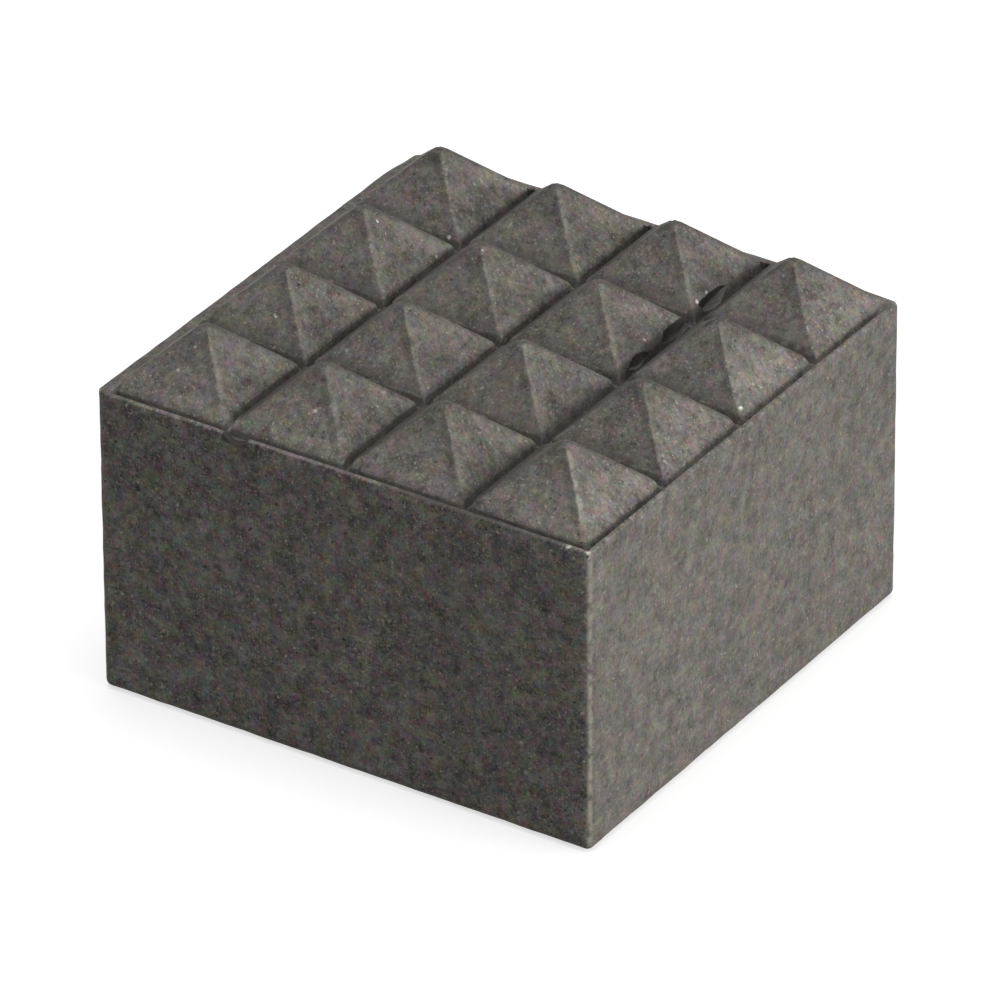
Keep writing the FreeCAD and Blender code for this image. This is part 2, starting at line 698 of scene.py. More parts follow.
@dataclass
class Damage:
    """What use has broken off: chips in a slot wall and the rim, and pits in the flanks.

    Each groove chip has its start and its end, from front to back, and its reach into the wall.
    """

    sizes: InsertSizes
    groove_chips: tuple[tuple[float, float, float], ...] = (
        (0.70, 1.50, 0.10),
        (2.00, 3.35, 0.09),
        (3.60, 4.70, 0.15),
    )
    groove_chipping: Chipping = Chipping(1.05, 0.05, 0.26, 0.12, 11)
    groove_extra: float = 0.02
    rim_chipping: Chipping = Chipping(1.25, 0.03, 0.28, 0.08, 21)
    rim_inset: float = 0.06
    rim_reach: float = 0.20
    pits: tuple[Spot, ...] = (
        Spot(-4.70, 4.54, 0.09), Spot(-4.47, 4.26, 0.04),
        Spot(-1.46, 4.52, 0.06), Spot(-4.26, -1.51, 0.05), Spot(5.73, -5.82, 0.05), Spot(5.95, -6.21, 0.05),
        Spot(6.13, -6.14, 0.05), Spot(5.81, -6.36, 0.05, z=7.52), Spot(6.27, -6.30, 0.05, z=7.55),
        Spot(6.10, -6.37, 0.04, z=6.97),
    )
    pit_flatness: float = 0.6
    pit_rise: float = 0.2
    pit_rough: float = 0.15
    pit_seed: int = 31

    def apply(self, insert: Workpiece) -> None:
        """Breaks the chips and pits out of the insert.

        Args:
            insert: The block with its teeth.
        """
        for tool in self._groove_tools() + [self._rim_tool()] + self._pit_tools():
            insert.work(tool, Join.CUT)

    def _groove_tools(self) -> list[Workpiece]:
        """Shapes long lumps that leave scoops along the left wall of the last groove.

        Returns:
            The lumps, from front to back.
        """
        s, how = self.sizes, self.groove_chipping
        wall = s.groove(s.columns - 1) - s.slot_width / 2
        tools = []
        for number, (start, end, reach) in enumerate(self.groove_chips):
            middle = (wall, (start + end) / 2, s.land + how.rise)
            radii = (reach + self.groove_extra, (end - start) / 2 * how.stretch, how.depth)
            seed = how.seed + number
            tools.append(Workpiece.lump(f"groove_chip_{number}", middle, radii, how.rough, seed, how.turns))
        return tools

    def _rim_tool(self) -> Workpiece:
        """Shapes the lump that leaves the gap in the front rim.

        Returns:
            The lump.
        """
        s, how = self.sizes, self.rim_chipping
        start, end = s.rim_chip
        middle = ((start + end) / 2, s.low.y + self.rim_inset, s.land + how.rise)
        radii = ((end - start) / 2 * how.stretch, self.rim_reach, how.depth)
        return Workpiece.lump("rim_chip", middle, radii, how.rough, how.seed, how.turns)

    def _pit_tools(self) -> list[Workpiece]:
        """Shapes small flat lumps, a third of each below the surface, where the photo shows pits.

        Returns:
            The lumps.
        """
        tools = []
        for number, pit in enumerate(self.pits):
            x, y, z = pit.place(self.sizes)
            middle = (x, y, z + pit.radius * self.pit_rise)
            radii = (pit.radius, pit.radius, pit.radius * self.pit_flatness)
            seed = self.pit_seed + number
            tools.append(Workpiece.lump(f"pit_{number}", middle, radii, self.pit_rough, seed))
        return tools


@dataclass(frozen=True)
class Fade:
    """A smooth change from 0 at one place to a strength at another, in either order."""

    start: float
    end: float
    strength: float = 1.0


@dataclass(frozen=True)
class Cloud:
    """A noise pattern: its repeats to the millimetre, its finer layers and how strong those are."""

    scale: float
    detail: float
    roughness: float = 0.5


@dataclass(frozen=True)
class Scatter:
    """Round grains in cells: cells to the millimetre, shares of them filled, radius and strengths."""

    cells: float
    pale_share: float
    dark_share: float
    radius: float
    pale_strength: float
    dark_strength: float
    core: float = 0.45


Value = Union["Shade", float]
Key = Union[str, int]


class Shade:
    """One output of a shader node, so that maths on it reads as an expression."""

    def __init__(self, desk: "ShaderDesk", socket: bpy.types.NodeSocket) -> None:
        """Keeps the desk that makes nodes, and the socket."""
        self.desk = desk
        self.socket = socket

    def _math(self, operation: str, *values: Value) -> "Shade":
        """A Math node on this value and others."""
        return self.desk.out("ShaderNodeMath", {"operation": operation}, dict(enumerate(values)))

    def __add__(self, other: Value) -> "Shade":
        """Sum."""
        return self._math("ADD", self, other)

    def __radd__(self, other: Value) -> "Shade":
        """Sum with a number on the left."""
        return self._math("ADD", other, self)

    def __sub__(self, other: Value) -> "Shade":
        """Difference."""
        return self._math("SUBTRACT", self, other)

    def __rsub__(self, other: Value) -> "Shade":
        """Difference with a number on the left."""
        return self._math("SUBTRACT", other, self)

    def __mul__(self, other: Value) -> "Shade":
        """Product."""
        return self._math("MULTIPLY", self, other)

    def __rmul__(self, other: Value) -> "Shade":
        """Product with a number on the left."""
        return self._math("MULTIPLY", other, self)

    def __neg__(self) -> "Shade":
        """The value with its sign turned."""
        return self * -1.0

    def __abs__(self) -> "Shade":
        """Size without sign."""
        return self._math("ABSOLUTE", self)

    def least(self, other: Value) -> "Shade":
        """The smaller of two values."""
        return self._math("MINIMUM", self, other)

    def most(self, other: Value) -> "Shade":
        """The larger of two values."""
        return self._math("MAXIMUM", self, other)

    def line(self, slope: float, start: float) -> "Shade":
        """The value times a slope, from a start."""
        return self._math("MULTIPLY_ADD", self, slope, start)

    def above(self, limit: Value) -> "Shade":
        """1 where the value is above a limit, otherwise 0."""
        return self._math("GREATER_THAN", self, limit)

    def folded(self, start: float, step: float) -> "Shade":
        """Distance from the middle of the repeat that the value falls in, with its sign."""
        return self._math("FLOORED_MODULO", self - start, step) - step / 2

    def fade(self, fade: Fade, base: float = 0.0) -> "Shade":
        """Fades with the value.

        Args:
            fade: The places where it starts and ends, and its strength.
            base: What those places are measured from.

        Returns:
            0 at the start, the strength at the end, and a smooth step between them.
        """
        ends = {"From Min": base + fade.start, "From Max": base + fade.end, "To Min": 0.0, "To Max": 1.0}
        settings = {"interpolation_type": "SMOOTHSTEP", "clamp": True}
        step = self.desk.out("ShaderNodeMapRange", settings, {"Value": self, **ends}, "Result")
        return step if fade.strength == 1.0 else step * fade.strength


class ShaderDesk:
    """Makes the nodes of one material, or of the world."""

    mark_peak: float = 1.5

    def __init__(self, owner: Union[bpy.types.Material, bpy.types.World]) -> None:
        """Starts with an empty node tree.

        Args:
            owner: The material or world that the nodes are for.
        """
        self.owner = owner
        self.owner.use_nodes = True
        self.tree = self.owner.node_tree
        self.tree.nodes.clear()

    def node(self, kind: str, settings: dict[str, Any], sockets: dict[Key, Any]) -> bpy.types.Node:
        """Makes one node.

        Args:
            kind: The node's type.
            settings: Its properties, set before its sockets.
            sockets: Values or links of its inputs, by name or number.

        Returns:
            The node.
        """
        made = self.tree.nodes.new(kind)
        for name, value in settings.items():
            setattr(made, name, value)
        for key, value in sockets.items():
            if isinstance(value, Shade):
                self.tree.links.new(value.socket, made.inputs[key])
            else:
                made.inputs[key].default_value = value
        return made

    def out(self, kind: str, settings: dict[str, Any], sockets: dict[Key, Any], name: Key = 0) -> Shade:
        """Makes one node and gives one of its outputs."""
        return Shade(self, self.node(kind, settings, sockets).outputs[name])

    def millimetres(self) -> Shade:
        """The object's own coordinates, in millimetres."""
        place = self.out("ShaderNodeTexCoord", {}, {}, "Object")
        return self.vector("SCALE", place, Scale=1 / MM)

    def axes(self, place: Shade) -> tuple[Shade, Shade, Shade]:
        """A vector's three parts."""
        parts = self.node("ShaderNodeSeparateXYZ", {}, {0: place})
        return tuple(Shade(self, parts.outputs[k]) for k in range(3))

    def noise(self, place: Shade, cloud: Cloud, output: str = "Fac") -> Shade:
        """Noise around one half, as a value or as a colour."""
        sockets = {"Scale": cloud.scale, "Detail": cloud.detail, "Roughness": cloud.roughness}
        return self.out("ShaderNodeTexNoise", {}, {"Vector": place, **sockets}, output)

    def vector(self, operation: str, *values: Any, **sockets: Any) -> Shade:
        """A Vector Math node on vectors or colours."""
        sockets.update(enumerate(values))
        return self.out("ShaderNodeVectorMath", {"operation": operation}, sockets)

    def distance(self, place: Shade, spot: Point) -> Shade:
        """How far a place is from a spot."""
        return self.out("ShaderNodeVectorMath", {"operation": "DISTANCE"}, {0: place, 1: spot}, "Value")

    def rays(self, first: str, *others: str) -> Shade:
        """Tells kinds of light rays apart.

        Args:
            first: One kind, as the Light Path node names it.
            others: More kinds.

        Returns:
            1 for a ray of any of those kinds, otherwise 0.
        """
        path = self.node("ShaderNodeLightPath", {}, {})
        seen = Shade(self, path.outputs[first])
        for name in others:
            seen = seen.most(Shade(self, path.outputs[name]))
        return seen

    def marks(self, place: Shade, spots: Sequence[Spot], sizes: InsertSizes) -> Shade:
        """Mask of small marks, each strongest in its middle and 0 past its radius.

        Args:
            place: Where the masks are read.
            spots: The marks.
            sizes: The insert's sizes, for the marks' levels.

        Returns:
            The mask, from 0 to 1.
        """
        total: Value = 0.0
        for spot in spots:
            peak = spot.strength * self.mark_peak
            cone = self.distance(place, spot.place(sizes)).line(-peak / spot.radius, peak)
            total = cone.most(total)
        return total.least(1.0)

    def grains(self, place: Shade, how: Scatter) -> tuple[Shade, Shade]:
        """Scattered round grains, some of them pale and some dark.

        Args:
            place: Where the pattern is read.
            how: The pattern.

        Returns:
            The masks of the pale and of the dark grains.
        """
        cells = self.node("ShaderNodeTexVoronoi", {"feature": "F1"}, {"Vector": place, "Scale": how.cells})
        draw = self.out("ShaderNodeSeparateColor", {}, {0: Shade(self, cells.outputs["Color"])})
        grain = Shade(self, cells.outputs["Distance"]).fade(Fade(how.radius, how.radius * how.core))
        pale = grain * draw.above(1 - how.pale_share) * how.pale_strength
        dark = grain * (1.0 - draw.above(how.dark_share)) * how.dark_strength
        return pale, dark

    def blend(self, factor: Value, first: Any, second: Any) -> Shade:
        """Colour mix: the first at 0, the second at 1."""
        return self.out("ShaderNodeMix", {"data_type": "RGBA"}, {0: factor, 6: first, 7: second}, 2)

    def finish(self, shader: Shade) -> Union[bpy.types.Material, bpy.types.World]:
        """Wires the shader to the output.

        Args:
            shader: What the material or world shows.

        Returns:
            The material or world.
        """
        kind = "World" if isinstance(self.owner, bpy.types.World) else "Material"
        self.node(f"ShaderNodeOutput{kind}", {}, {"Surface": shader})
        return self.owner


@dataclass(frozen=True)
class Here:
    """The point that is being dressed, in millimetres, and its place from the middle of its tooth."""

    place: Shade
    x: Shade
    y: Shade
    z: Shade
    u: Shade
    v: Shade

    @classmethod
    def read(cls, desk: ShaderDesk, sizes: InsertSizes) -> "Here":
        """Reads the point from the piece's own coordinates.

        Args:
            desk: Where the nodes are made.
            sizes: The insert's sizes.

        Returns:
            The point.
        """
        place = desk.millimetres()
        x, y, z = desk.axes(place)
        start_x, start_y = sizes.first_cell
        return cls(place, x, y, z, x.folded(start_x, sizes.pitch), y.folded(start_y, sizes.pitch))


@dataclass(frozen=True)
class Grain:
    """Grain of the sintered metal: mottling from broad to fine, faint hues, and pale and dark grains."""

    body: Colour = screen(123, 118, 112)
    pale: Colour = screen(196, 190, 176)
    pore: Colour = screen(52, 48, 46)
    mean: float = 0.5
    mottle: Cloud = Cloud(2.4, 3.0, 1.0)
    mottle_spread: float = 2.5
    drift: Cloud = Cloud(0.6, 1.0)
    drift_spread: float = 0.4
    hue: Cloud = Cloud(3.2, 2.0, 1.0)
    hue_spread: float = 0.8
    hue_shift: Point = (31.0, 17.0, 5.0)
    patch: Cloud = Cloud(10.0, 1.0)
    pale_patches: Fade = Fade(0.66, 0.80, 0.55)
    dark_patches: Fade = Fade(0.33, 0.22, 0.6)
    fine: Scatter = Scatter(12.5, 0.30, 0.28, 0.4, 0.34, 0.34)
    large: Scatter = Scatter(4.2, 0.12, 0.12, 0.2, 0.5, 0.6)

    def colour(self, desk: ShaderDesk, place: Shade, coarser: Shade) -> tuple[Shade, Shade]:
        """Works out the grain's colour.

        Args:
            desk: Where the nodes are made.
            place: The point that is dressed.
            coarser: How much stronger the grain is than on the sides.

        Returns:
            The colour, and its tone, which is around 1.
        """
        tone = (desk.noise(place, self.mottle) - self.mean) * coarser * self.mottle_spread
        tone = tone + (desk.noise(place, self.drift) - self.mean) * self.drift_spread + 1.0
        shifted = desk.vector("ADD", place, self.hue_shift)
        hue = desk.vector("SUBTRACT", desk.noise(shifted, self.hue, "Color"), (self.mean,) * 3)
        hue = desk.vector("ADD", desk.vector("SCALE", hue, Scale=coarser * self.hue_spread), (1.0,) * 3)
        colour = desk.vector("MULTIPLY", desk.vector("SCALE", hue, Scale=tone), self.body)
        patches = desk.noise(shifted, self.patch)
        pale, dark = desk.grains(place, self.fine)
        large_pale, large_dark = desk.grains(place, self.large)
        specks = pale.most(large_pale).most(patches.fade(self.pale_patches))
        pores = dark.most(large_dark).most(patches.fade(self.dark_patches))
        colour = desk.blend(specks * coarser, colour, rgba(self.pale))
        return desk.blend(pores * coarser, colour, rgba(self.pore)), tone


@dataclass(frozen=True)
class WearAndPaintedHighlight:
    """Pale lines along the ridges facing front and right, and along the upright edges: partly wear from use,
    partly painted highlight where the light catches them.
    """

    sizes: InsertSizes
    patches: Cloud = Cloud(3.0, 2.0, 0.9)
    ridge_offset: float = 0.025
    ridge_line: Fade = Fade(0.09, 0.024)
    ridge_patches: Fade = Fade(0.34, 0.62, 0.8)
    ridge_least: float = 0.2
    off_tip: Fade = Fade(0.02, 0.12)
    off_land: Fade = Fade(0.02, 0.35)
    near_corner: Fade = Fade(4.0, 1.5, 0.42)
    ridge_strength: float = 0.21
    edge_shares: tuple[float, float] = (0.65, 0.3)
    edge_lean: float = 0.7
    edge_patches: Fade = Fade(0.3, 0.6, 0.7)

    def mask(self, desk: ShaderDesk, here: Here) -> Shade:
        """Works out where the metal is painted pale, for wear and for highlight.

        Args:
            desk: Where the nodes are made.
            here: The point that is dressed.

        Returns:
            The mask, from 0 to 1.
        """
        uneven = desk.noise(here.place, self.patches)
        return self._ridges(desk, here, uneven).most(self._edges(here, uneven))

    def _ridges(self, desk: ShaderDesk, here: Here, uneven: Shade) -> Shade:
        """Finds the pale ridges, worn and with painted highlight, which are plainest near the front right
        corner.

        Args:
            desk: Where the nodes are made.
            here: The point that is dressed.
            uneven: Noise that breaks the lines up.

        Returns:
            The mask, from 0 to 1.
        """
        s = self.sizes
        line = abs(here.u + here.v - self.ridge_offset).fade(self.ridge_line)
        facing = here.u.fade(self.off_tip) * here.z.fade(self.off_land, s.land)
        corner = desk.distance(here.place, (s.high.x, s.low.y, s.land)).fade(self.near_corner)
        amount = uneven.fade(self.ridge_patches) + self.ridge_least
        return line * facing * amount * (corner + self.ridge_strength)

    def _edges(self, here: Here, uneven: Shade) -> Shade:
        """Finds the upright edges, worn by handling and with painted highlight on their rounding.

        Args:
            here: The point that is dressed.
            uneven: Noise that breaks the lines up.

        Returns:
            The mask, from 0 to 1.
        """
        s = self.sizes
        away_x = (here.x - s.low.x).least(s.high.x - here.x)
        away_y = (here.y - s.low.y).least(s.high.y - here.y)
        line = Fade(*(s.edge_radius * share for share in self.edge_shares))
        return away_x.most(away_y * self.edge_lean).fade(line) * uneven.fade(self.edge_patches)


@dataclass(frozen=True)
class PaintedShadeAndDirt:
    """Painted shade, darker rim and land, and dirt in the chipped slot: where each lies, and how strongly.

    Fades up and down are measured from the land, or from the slots' floor where they are
    named for it. Fades near a side are measured from that side, and fades on a tooth from
    its middle. The places of rows and columns are the insert's own.
    """

    sizes: InsertSizes
    # painted shade in the slots, lighter on the column walls behind the first row
    slot_shade: float = 0.5
    in_slot: Fade = Fade(0.0, -0.08)
    outer_slots: Fade = Fade(0.60, 0.50, 0.09)
    front_slot: Fade = Fade(0.60, 0.50, 0.15)
    right_slot: Fade = Fade(0.50, 0.40, 0.30)
    beside_tooth: Fade = Fade(1.38, 1.44)
    along_tooth: Fade = Fade(1.44, 1.38)
    lighter_back_rows: Fade = Fade(-3.1, -2.8, 0.5)
    rim_share: float = 0.8
    rim_top: Fade = Fade(-0.08, -0.02)
    front_rim: Fade = Fade(0.16, 0.12, 0.6)
    rim_start: Fade = Fade(0.6, 1.6)
    rim_end: Fade = Fade(0.5, 0.9)
    gap_ends: Fade = Fade(-0.08, 0.0)
    gap_floor: Fade = Fade(-0.2, -0.1)
    gap_back: Fade = Fade(0.20, 0.15)
    gap_front: Fade = Fade(0.0, 0.008)
    left_land: Fade = Fade(0.05, -0.05, 0.22)
    above_land: Fade = Fade(-0.02, 0.04)
    front_flanks: Fade = Fade(-0.02, 0.06)
    front_rows: Fade = Fade(-3.6, -3.2)
    front_foot: Fade = Fade(0.32, 0.05, 0.40)
    front_haze: Fade = Fade(0.95, 0.10, 0.12)
    left_flanks: Fade = Fade(0.0, 0.08)
    left_columns: Fade = Fade(-3.4, -3.1)
    left_haze: Fade = Fade(1.1, 0.12, 0.74)
    left_foot: Fade = Fade(0.15, -0.02, 0.21)
    off_right_side: Fade = Fade(0.35, 0.45)
    off_floor: Fade = Fade(-0.1, 0.0)
    side_ridges: Fade = Fade(0.20, 0.03)
    side_ridge_right: Fade = Fade(-0.05, 0.05, 0.15)
    side_ridge_left: float = 0.27
    crease_offset: float = 0.20
    crease: Fade = Fade(0.17, 0.02, 0.3)
    crease_start: Fade = Fade(0.05, 0.20)
    chipped_across: Fade = Fade(0.36, 0.28)
    chipped_start: Fade = Fade(-0.2, 0.8)
    chipped_end: Fade = Fade(4.9, 3.9, 0.55)
    chipped_least: float = 0.4
    chipped_top: Fade = Fade(0.15, 0.03)
    chipped_walls: Fade = Fade(-0.24, -0.15, 0.55)
    chipped_floor: float = 0.3

    def mask(self, here: Here) -> Shade:
        """Works out where shade is painted, where the rim and land are darker, and where dirt lies.

        Args:
            here: The point that is dressed.

        Returns:
            The mask, from 0 to 1.
        """
        front, right = here.y - self.sizes.low.y, self.sizes.high.x - here.x
        # painted shade and dirt, put together
        low_parts = self._slots(here, front, right).most(self._rim(here, front, right))
        return low_parts.most(self._left_flanks(here)).most(self._flanks(here)).most(self._chipped_slot_dark(here))

    def _inside(self, away: Shade) -> Shade:
        """1 where a place is farther from the sides than the rim is wide, otherwise 0."""
        rim = self.sizes.rim_width
        return away.fade(Fade(rim * self.rim_share, rim))

    def _slots(self, here: Here, front: Shade, right: Shade) -> Shade:
        """Finds the painted shade in the slots.

        Args:
            here: The point that is dressed.
            front: Its distance from the front side.
            right: Its distance from the right side.

        Returns:
            The mask, from 0 to 1.
        """
        s = self.sizes
        away = (here.x - s.low.x).least(right).least(front).least(s.high.y - here.y)
        # strength of the painted shade in the slots
        strength = front.fade(self.front_slot) + self.slot_shade - right.fade(self.right_slot)
        wall = abs(here.u).fade(self.beside_tooth) * abs(here.v).fade(self.along_tooth)
        strength = strength * (1.0 - wall * here.y.fade(self.lighter_back_rows))
        level = here.z + front.least(right).fade(self.outer_slots)
        return self._inside(away) * level.fade(self.in_slot, s.land) * strength

    def _rim(self, here: Here, front: Shade, right: Shade) -> Shade:
        """Finds where the right half of the front rim and the left land are darker, and the painted shade on
        the floor of the chip in the rim.

        Args:
            here: The point that is dressed.
            front: Its distance from the front side.
            right: Its distance from the right side.

        Returns:
            The mask, from 0 to 1.
        """
        s = self.sizes
        start, end = s.rim_chip
        top = here.z.fade(self.rim_top, s.land)
        rim = front.fade(self.front_rim) * here.x.fade(self.rim_start) * right.fade(self.rim_end) * top
        # painted shade on the floor of the chip in the front rim
        gap = here.x.fade(self.gap_ends, start) * (-here.x).fade(self.gap_ends, -end)
        gap = gap * front.fade(self.gap_front) * front.fade(self.gap_back)
        gap = gap * here.z.fade(self.gap_floor, s.slot_floor)
        return rim.most(gap).most((here.x - s.low.x).fade(self.left_land, s.left_land) * top)

    def _left_flanks(self, here: Here) -> Shade:
        """Finds the painted shade on the left flanks, which face away from the light, darkest at their feet.

        Args:
            here: The point that is dressed.

        Returns:
            The mask, from 0 to 1.
        """
        s = self.sizes
        part = here.x.fade(self.left_columns) * (s.high.x - here.x).fade(self.off_right_side)
        part = part * here.z.fade(self.off_floor, s.slot_floor)
        part = part * self._inside((here.y - s.low.y).least(s.high.y - here.y))
        # painted shade on the left flanks, away from the light
        dirt = here.z.fade(self.left_haze, s.land) + here.z.fade(self.left_foot, s.land)
        return dirt * (-abs(here.v) - here.u).fade(self.left_flanks) * part

    def _flanks(self, here: Here) -> Shade:
        """Finds the painted shade at the feet of the front flanks, along the ridges that run from front left
        to back right, and in a crease beside the front right ridges.

        Args:
            here: The point that is dressed.

        Returns:
            The mask, from 0 to 1.
        """
        u, v, z, land = here.u, here.v, here.z, self.sizes.land
        # painted shade at the feet of the front flanks, along the diagonal ridges, and in a crease beside
        # the front right ridges
        feet = z.fade(self.front_foot, land) + z.fade(self.front_haze, land)
        feet = feet * (-abs(u) - v).fade(self.front_flanks) * here.y.fade(self.front_rows)
        ridges = abs(u - v).fade(self.side_ridges) * (u.fade(self.side_ridge_right) + self.side_ridge_left)
        crease = abs(u + v + self.crease_offset).fade(self.crease) * u.fade(self.crease_start)
        return feet.most(ridges).most(crease) * z.fade(self.above_land, land)

    def _chipped_slot_dark(self, here: Here) -> Shade:
        """Finds the dirt and painted shade in the chipped slot, weaker low down where the slot lies deeper
        in shade.

        Args:
            here: The point that is dressed.

        Returns:
            The mask, from 0 to 1.
        """
        # dirt and painted shade in the chipped slot, weaker low down where the slot lies deeper in shade
        s, z = self.sizes, here.z
        across = abs(here.x - s.groove(s.columns - 1)).fade(self.chipped_across)
        along = here.y.fade(self.chipped_start) * here.y.fade(self.chipped_end) + self.chipped_least
        walls = z.fade(self.chipped_walls, s.land) + self.chipped_floor
        return across * along * z.fade(self.chipped_top, s.land) * walls


@dataclass(frozen=True)
class SinteredGrey:
    """Matte sintered grey with its wear and dirt, painted shade and highlight, white dots and stains."""

    sizes: InsertSizes
    grain: Grain = Grain()
    # dark colour for the painted shade, the dirt and the stains
    shade_and_stain: Colour = screen(74, 69, 66)
    dot_white: Colour = screen(250, 248, 240)
    front_side: Fade = Fade(0.06, 0.0, 0.55)
    # Painted light and shade on the teeth: lighter at their feet, darker towards their tips
    painted_light_at_feet: Fade = Fade(0.0, 0.1, 0.07)
    painted_shade_at_tips: Fade = Fade(0.15, 1.25, 0.34)
    roughness: float = 0.7
    rough_spread: float = 0.1
    specular: float = 0.2
    relief: Cloud = Cloud(7.0, 2.0, 1.0)
    relief_strength: float = 0.55
    relief_height: float = 0.03
    ragged: Cloud = Cloud(10.0, 1.0, 0.8)
    ragged_reach: float = 0.12
    # White dots: small specks, and on the chipped front right corner pale broken metal with painted
    # highlight
    white_dots: tuple[Spot, ...] = (
        Spot(-3.15, -5.72, 0.26, 0.28, 7.42), Spot(-2.97, -5.98, 0.05, 0.3, 7.53),
        Spot(5.88, 0.46, 0.075), Spot(2.73, 3.71, 0.07), Spot(2.70, 4.12, 0.06),
        Spot(-0.95, 3.31, 0.06, 1.0, 7.53), Spot(5.79, -6.31, 0.09, 0.6, 7.54),
        Spot(6.27, -6.29, 0.09, 0.6, 7.54), Spot(-3.27, 2.47, 0.05, 0.6),
        Spot(-3.55, 3.36, 0.06, 0.7, 7.53), Spot(-4.31, 1.69, 0.05, 0.5), Spot(-4.70, -4.89, 0.05, 0.5),
        Spot(-4.85, -5.34, 0.05, 0.4), Spot(-4.37, -2.26, 0.05, 0.45), Spot(-1.33, -5.26, 0.06, 0.5),
        Spot(-1.46, 1.59, 0.05, 0.5), Spot(5.56, 3.73, 0.05, 0.4), Spot(6.32, -5.58, 0.08, 0.25, 7.55),
        Spot(6.27, -4.59, 0.07, 0.3, 7.55), Spot(6.35, -4.28, 0.05, 0.35, 7.41),
        Spot(6.22, 3.74, 0.06, 0.4, 7.55), Spot(6.32, 3.98, 0.05, 0.4, 7.55),
        Spot(6.35, 5.97, 0.06, 0.3, 7.49), Spot(2.67, 1.63, 0.05, 0.5),
    )
    stains: tuple[Spot, ...] = (
        Spot(-4.66, 4.52, 0.24, 0.75), Spot(-4.47, 4.22, 0.06, 0.6), Spot(1.93, 1.18, 0.10, 0.35),
        Spot(2.20, 0.90, 0.09, 0.35), Spot(4.98, 1.20, 0.08, 0.35), Spot(5.30, 0.86, 0.09, 0.45),
        Spot(5.10, 4.14, 0.08, 0.35), Spot(5.38, 3.84, 0.09, 0.4), Spot(-1.46, 4.51, 0.10, 0.6),
        Spot(-4.26, -1.51, 0.07, 0.6), Spot(5.36, 3.39, 0.26, 0.6), Spot(2.60, 4.15, 0.24, 0.5, 7.72),
        Spot(5.05, 3.42, 0.18, 0.5), Spot(5.67, 3.37, 0.20, 0.6), Spot(5.62, 0.23, 0.20, 0.6),
        Spot(5.30, 0.27, 0.22, 0.5), Spot(-3.24, -5.62, 0.09, 0.5, 7.55), Spot(-3.30, -5.80, 0.08, 0.4, 7.5),
        Spot(2.63, 0.14, 0.14, 0.6), Spot(5.73, -5.82, 0.07, 0.8), Spot(5.95, -6.21, 0.06, 0.8),
        Spot(6.13, -6.14, 0.06, 0.8), Spot(6.15, -5.90, 0.06, 0.7), Spot(6.09, -6.35, 0.06, 0.8, 7.0),
        Spot(4.90, -2.44, 0.05, 0.6), Spot(5.59, -2.56, 0.05, 0.6), Spot(5.06, 3.79, 0.05, 0.5),
        Spot(6.35, -2.16, 0.05, 0.5, 7.01), Spot(5.42, 2.47, 0.05, 0.5), Spot(6.35, -1.71, 0.05, 0.5, 6.15),
    )

    def material(self) -> bpy.types.Material:
        """Builds the finish.

        Returns:
            The material.
        """
        desk = ShaderDesk(bpy.data.materials.new("sintered_grey"))
        here = Here.read(desk, self.sizes)
        coarser = (here.y - self.sizes.low.y).fade(self.front_side) + 1.0
        colour, tone = self.grain.colour(desk, here.place, coarser)
        # painted shading of the teeth by height, lighter at the feet and darker towards the tips
        colour = desk.vector("SCALE", colour, Scale=self._painted_height_shading(here.z))
        # pale wear and painted highlight on the front right ridges and on the upright edges
        colour = desk.blend(WearAndPaintedHighlight(self.sizes).mask(desk, here), colour, rgba(self.grain.pale))
        edges = self._ragged_edges(desk, here.place)
        # painted shade, dirt and stains, all in the dark colour
        shade_and_stain = PaintedShadeAndDirt(self.sizes).mask(here).most(desk.marks(edges, self.stains, self.sizes))
        colour = desk.blend(shade_and_stain, colour, rgba(self.shade_and_stain))
        # white dots, those on the chipped corner partly painted highlight
        colour = desk.blend(desk.marks(edges, self.white_dots, self.sizes), colour, rgba(self.dot_white))
        bump = desk.out("ShaderNodeBump", {}, {
            "Strength": self.relief_strength, "Distance": self.relief_height * MM,
            "Height": desk.noise(here.place, self.relief)}, "Normal")
        rough = tone * self.rough_spread + (self.roughness - self.rough_spread)
        shader = desk.out("ShaderNodeBsdfPrincipled", {}, {
            "Base Color": colour, "Roughness": rough, "Specular IOR Level": self.specular, "Normal": bump})
        return desk.finish(shader)

    def _ragged_edges(self, desk: ShaderDesk, place: Shade) -> Shade:
        """Makes the place stray a little, so that marks read there have ragged edges.

        Args:
            desk: Where the nodes are made.
            place: The point that is dressed.

        Returns:
            The place that it strays to.
        """
        reach = self.ragged_reach
        stray = desk.vector("MULTIPLY_ADD", desk.noise(place, self.ragged, "Color"), (reach,) * 3, place)
        return desk.vector("ADD", stray, (-reach / 2,) * 3)

    def _painted_height_shading(self, z: Shade) -> Shade:
        """Painted shading: the teeth are painted a little lighter at their feet and darker up towards their
        tips.
        """
        land = self.sizes.land
        return 1.0 + z.fade(self.painted_light_at_feet, land) - z.fade(self.painted_shade_at_tips, land)


